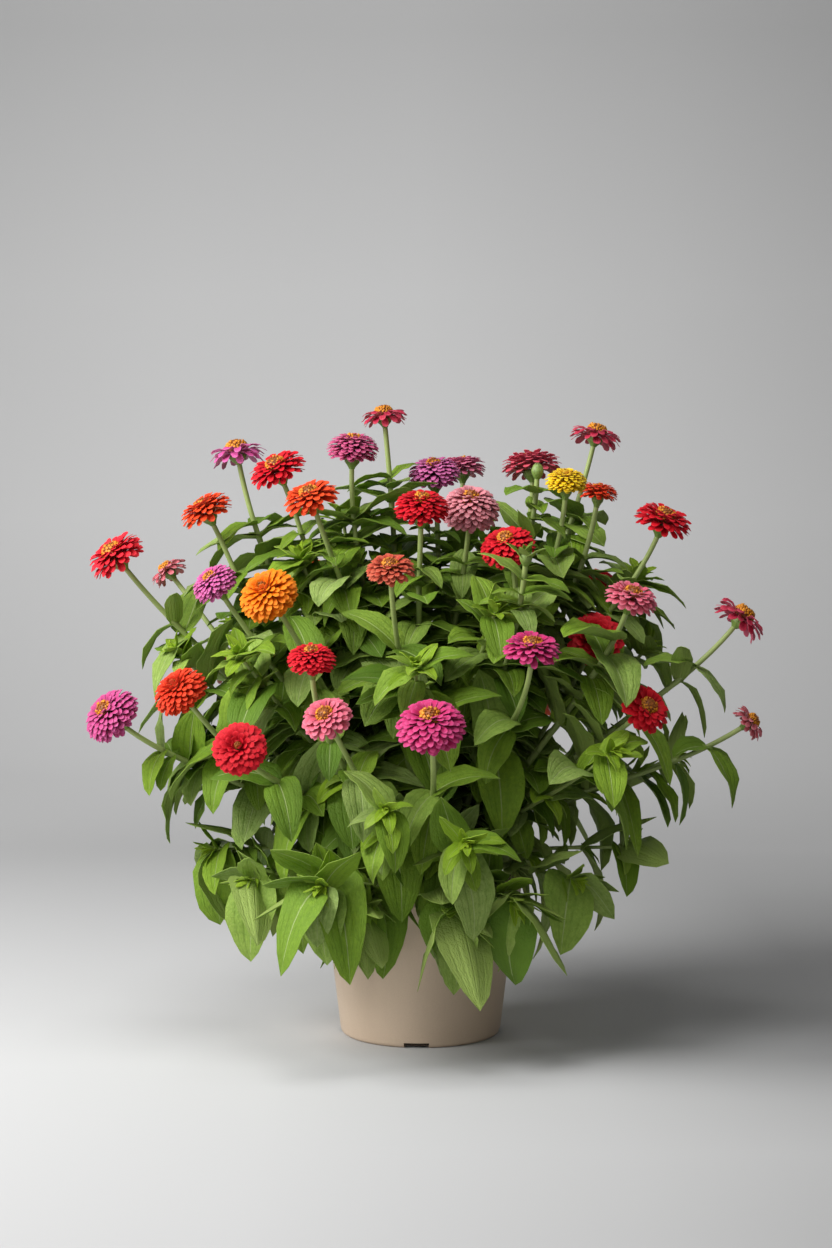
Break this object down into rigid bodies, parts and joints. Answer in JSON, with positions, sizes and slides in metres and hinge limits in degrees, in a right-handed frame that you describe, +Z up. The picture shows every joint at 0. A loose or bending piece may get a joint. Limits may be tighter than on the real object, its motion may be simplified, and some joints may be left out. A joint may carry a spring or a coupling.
{
  "type": "potted zinnia",
  "caption": "Bushy zinnia in a tapered plastic nursery pot, with leafy branching stems and layered flower heads in mixed colours.",
  "frame": {"origin": "centre of the pot's flat underside, on the surface it stands on", "axes": "+Z up; the picture looks along +Y, with +X to its right"},
  "size_m": [0.6556, 0.5631, 0.6246],
  "materials": {
    "pot": "satin taupe moulded plastic",
    "compost": "matt, crumbly peat and bark compost",
    "foliage": "matt, slightly rough fresh leaves and stems",
    "florets": "yellow-orange disc florets",
    "petal_red": "crimson-red petals, soft satin",
    "petal_scarlet": "orange-red petals with paler rims",
    "petal_orange": "warm orange petals",
    "petal_yellow": "golden yellow petals",
    "petal_coral": "brick-coral petals",
    "petal_rose": "dusky crimson-rose petals",
    "petal_magenta": "hot pink petals",
    "petal_orchid": "pale purple-pink petals",
    "petal_purple": "magenta-purple petals",
    "petal_mauve": "dull mauve petals",
    "petal_pink": "salmon-pink petals",
    "petal_dusty_pink": "faded pink petals"
  },
  "bodies": {
    "root": {"pot": "pot", "soil": "compost", "leafy_stem_01": "foliage", "leafy_stem_02": "foliage", "leafy_stem_03": "foliage", "leafy_stem_04": "foliage", "leafy_stem_05": "foliage", "leafy_stem_06": "foliage", "leafy_stem_07": "foliage", "leafy_stem_08": "foliage", "leafy_stem_09": "foliage", "leafy_stem_10": "foliage", "leafy_stem_11": "foliage", "leafy_stem_12": "foliage", "leafy_stem_13": "foliage", "leafy_stem_14": "foliage", "leafy_stem_15": "foliage", "leafy_stem_16": "foliage", "leafy_stem_17": "foliage", "leafy_stem_18": "foliage", "leafy_stem_19": "foliage", "bloom_01": "petal_rose", "bloom_02": "petal_purple", "bloom_03": "petal_red", "bloom_04": "petal_mauve", "bloom_05": "petal_scarlet", "bloom_06": "petal_scarlet", "bloom_07": "petal_red", "bloom_08": "petal_dusty_pink", "bloom_09": "petal_purple", "bloom_10": "petal_orange", "bloom_11": "petal_red", "bloom_12": "petal_purple", "bloom_13": "petal_mauve", "bloom_14": "petal_dusty_pink", "bloom_15": "petal_coral", "bloom_16": "petal_rose", "bloom_17": "petal_yellow", "bloom_18": "petal_rose", "bloom_19": "petal_scarlet", "bloom_20": "petal_red", "bloom_21": "petal_red", "bloom_22": "petal_pink", "bloom_23": "petal_rose", "bloom_24": "petal_dusty_pink", "bloom_25": "petal_magenta", "bloom_26": "petal_red", "bloom_27": "petal_red", "bloom_28": "petal_magenta", "bloom_29": "petal_red", "bloom_30": "petal_pink", "bloom_31": "petal_scarlet", "bloom_32": "petal_orchid", "bloom_33": "petal_red", "bloom_34": "petal_orange", "bloom_35": "petal_purple", "bloom_36": "petal_red", "bloom_37": "petal_pink", "bloom_38": "petal_scarlet", "bloom_39": "petal_yellow"}
  },
  "joints": []
}
